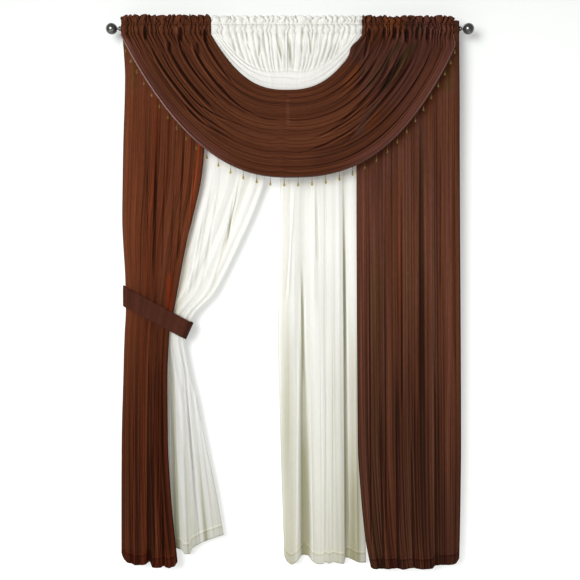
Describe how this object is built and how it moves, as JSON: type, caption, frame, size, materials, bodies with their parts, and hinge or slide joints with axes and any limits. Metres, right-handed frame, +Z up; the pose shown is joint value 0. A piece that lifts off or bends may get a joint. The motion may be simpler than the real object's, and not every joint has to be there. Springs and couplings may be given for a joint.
{
  "type": "sheer curtain set on a rod",
  "caption": "Brown and ivory sheer curtain panels on a ball-ended rod, one side tied back, under a gathered swag valance with a bead-drop edge.",
  "frame": {"origin": "middle of the rod's axis", "axes": "+X along the rod to the right finial, +Z up, the front of the curtains faces -Y"},
  "size_m": [1.4176, 0.1144, 2.1376],
  "materials": {
    "gunmetal": "satin gunmetal",
    "brown_voile": "sheer crinkle voile",
    "swag_voile": "sheer crinkle voile",
    "ivory_voile": "sheer voile",
    "amber_beads": "clear amber beads on a braid",
    "tie_cloth": "doubled voile band"
  },
  "bodies": {
    "root": {"rod": "gunmetal", "finial_left": "gunmetal", "finial_right": "gunmetal", "panel_brown_left": "brown_voile", "panel_brown_right": "brown_voile", "panel_ivory_left": "ivory_voile", "panel_ivory_right": "ivory_voile", "swag_brown": "swag_voile", "swag_ivory": "ivory_voile", "bead_trim": "amber_beads", "tieback": "tie_cloth"}
  },
  "joints": []
}
